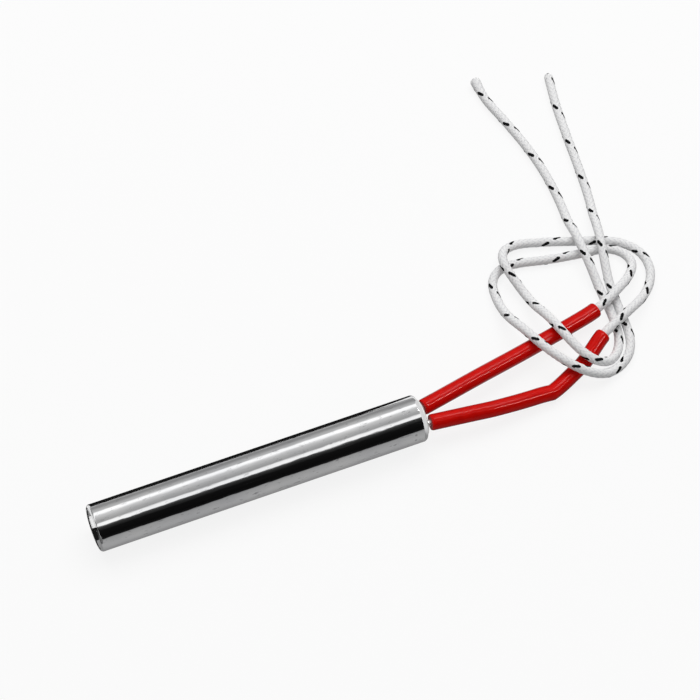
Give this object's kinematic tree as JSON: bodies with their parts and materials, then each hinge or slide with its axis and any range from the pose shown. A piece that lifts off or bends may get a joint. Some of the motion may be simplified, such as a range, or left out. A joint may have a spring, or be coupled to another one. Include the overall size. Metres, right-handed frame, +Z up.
{
  "type": "cartridge heater",
  "caption": "Round polished steel cartridge heater for a bore in a die or mould, with a closed end and red-sleeved braided leads tied in a loose knot.",
  "frame": {"origin": "on the axis of the sheath, midway between its closed end and its mouth", "axes": "+X along the sheath towards the leads, +Z up from the surface that the heater lies on"},
  "size_m": [0.1904, 0.1211, 0.014],
  "materials": {
    "sheath_steel": "polished stainless steel",
    "spacer_ceramic": "matte",
    "core_magnesia": "matte",
    "resistance_wire": "drawn wire",
    "fill_magnesia": "packed powder",
    "pin_nickel": "drawn nickel",
    "plug_ceramic": "matte",
    "seal_cement": "matte white cement",
    "crimp_nickel": "plated",
    "sleeve_red": "smooth silicone on glass fibre",
    "lead_braid": "braided glass fibre with a dark tracer"
  },
  "bodies": {
    "root": {"sheath_tube": "sheath_steel", "end_disc": "sheath_steel", "bottom_spacer": "spacer_ceramic", "core_segment_1": "core_magnesia", "core_segment_2": "core_magnesia", "core_segment_3": "core_magnesia", "resistance_winding": "resistance_wire", "magnesia_fill": "fill_magnesia", "long_pin": "pin_nickel", "short_pin": "pin_nickel", "mouth_plug": "plug_ceramic", "mouth_seal": "seal_cement", "left_crimp": "crimp_nickel", "right_crimp": "crimp_nickel", "left_sleeve": "sleeve_red", "right_sleeve": "sleeve_red", "left_lead": "lead_braid", "right_lead": "lead_braid"}
  },
  "joints": []
}
